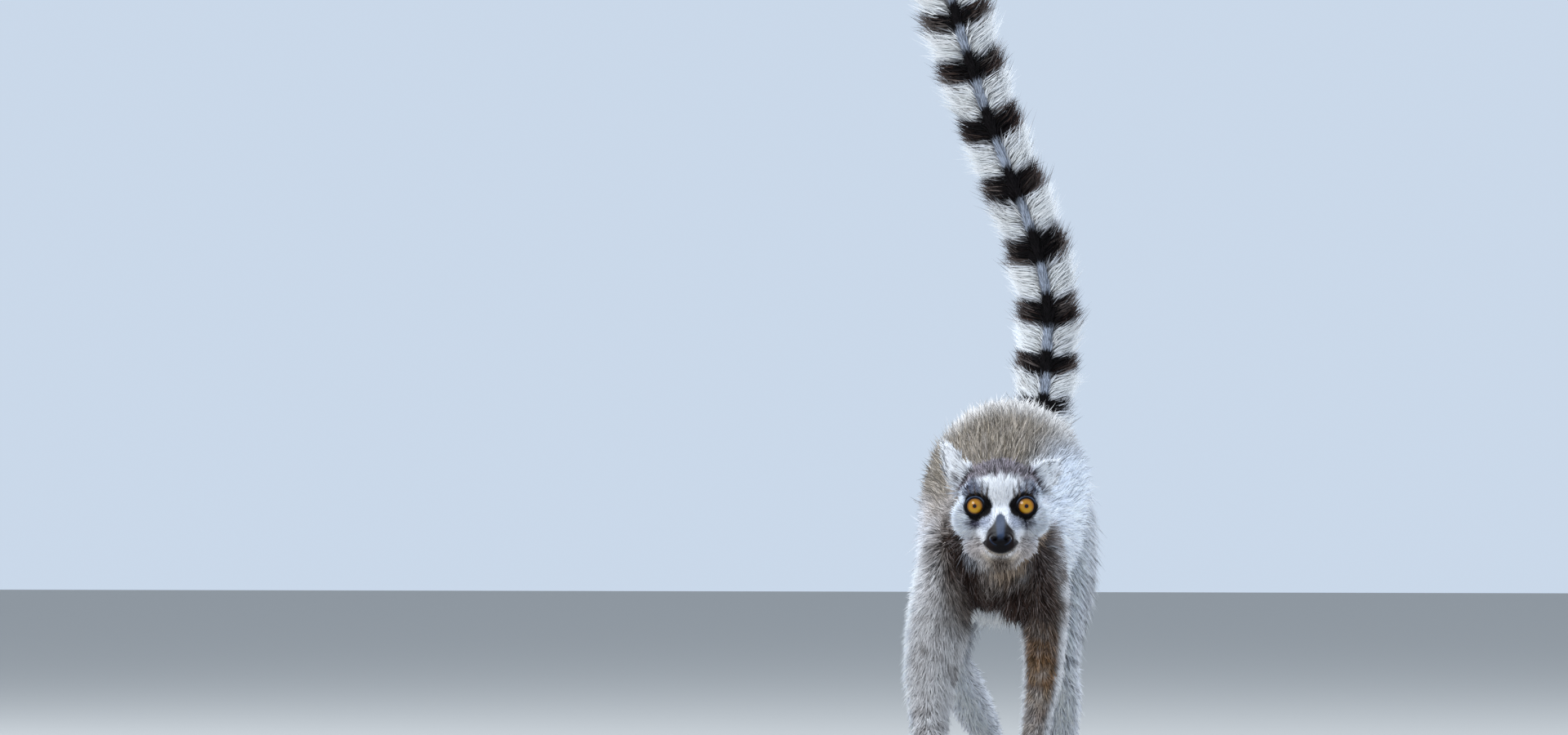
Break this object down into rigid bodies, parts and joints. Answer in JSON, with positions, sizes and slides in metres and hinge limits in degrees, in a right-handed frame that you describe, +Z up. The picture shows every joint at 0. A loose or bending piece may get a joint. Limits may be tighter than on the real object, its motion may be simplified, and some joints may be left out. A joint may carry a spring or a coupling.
{
  "type": "ring-tailed lemur model",
  "caption": "Life-size still model of a ring-tailed lemur in mid walk, tail held high, white face with dark eye patches, amber eyes and a banded tail.",
  "frame": {"origin": "middle of the bottom of the animal's box, on the floor it stands on", "axes": "+Z up, the animal faces -Y, +X is its own left side"},
  "size_m": [0.1696, 0.5654, 0.8332],
  "materials": {
    "grey_fur": "soft short brownish grey fur, matte",
    "pale_fur": "short white and cream fur, matte",
    "tail_fur": "long loose fur in dark and white rings, matte",
    "black_skin": "bare black skin, slightly moist sheen",
    "amber_eye": "glossy amber eye with a dark pupil"
  },
  "bodies": {
    "root": {"ear_left": "pale_fur", "ear_right": "pale_fur", "eye_left": "amber_eye", "eye_right": "amber_eye", "foot_left": "grey_fur", "foot_right": "grey_fur", "forearm_left": "grey_fur", "forearm_right": "grey_fur", "hand_left": "grey_fur", "hand_right": "grey_fur", "head": "pale_fur", "neck": "pale_fur", "nose": "black_skin", "shank_left": "grey_fur", "shank_right": "grey_fur", "tail_lower": "tail_fur", "tail_root": "tail_fur", "tail_tip": "tail_fur", "tail_upper": "tail_fur", "thigh_left": "grey_fur", "thigh_right": "grey_fur", "trunk": "grey_fur", "upper_arm_left": "grey_fur", "upper_arm_right": "grey_fur"}
  },
  "joints": []
}
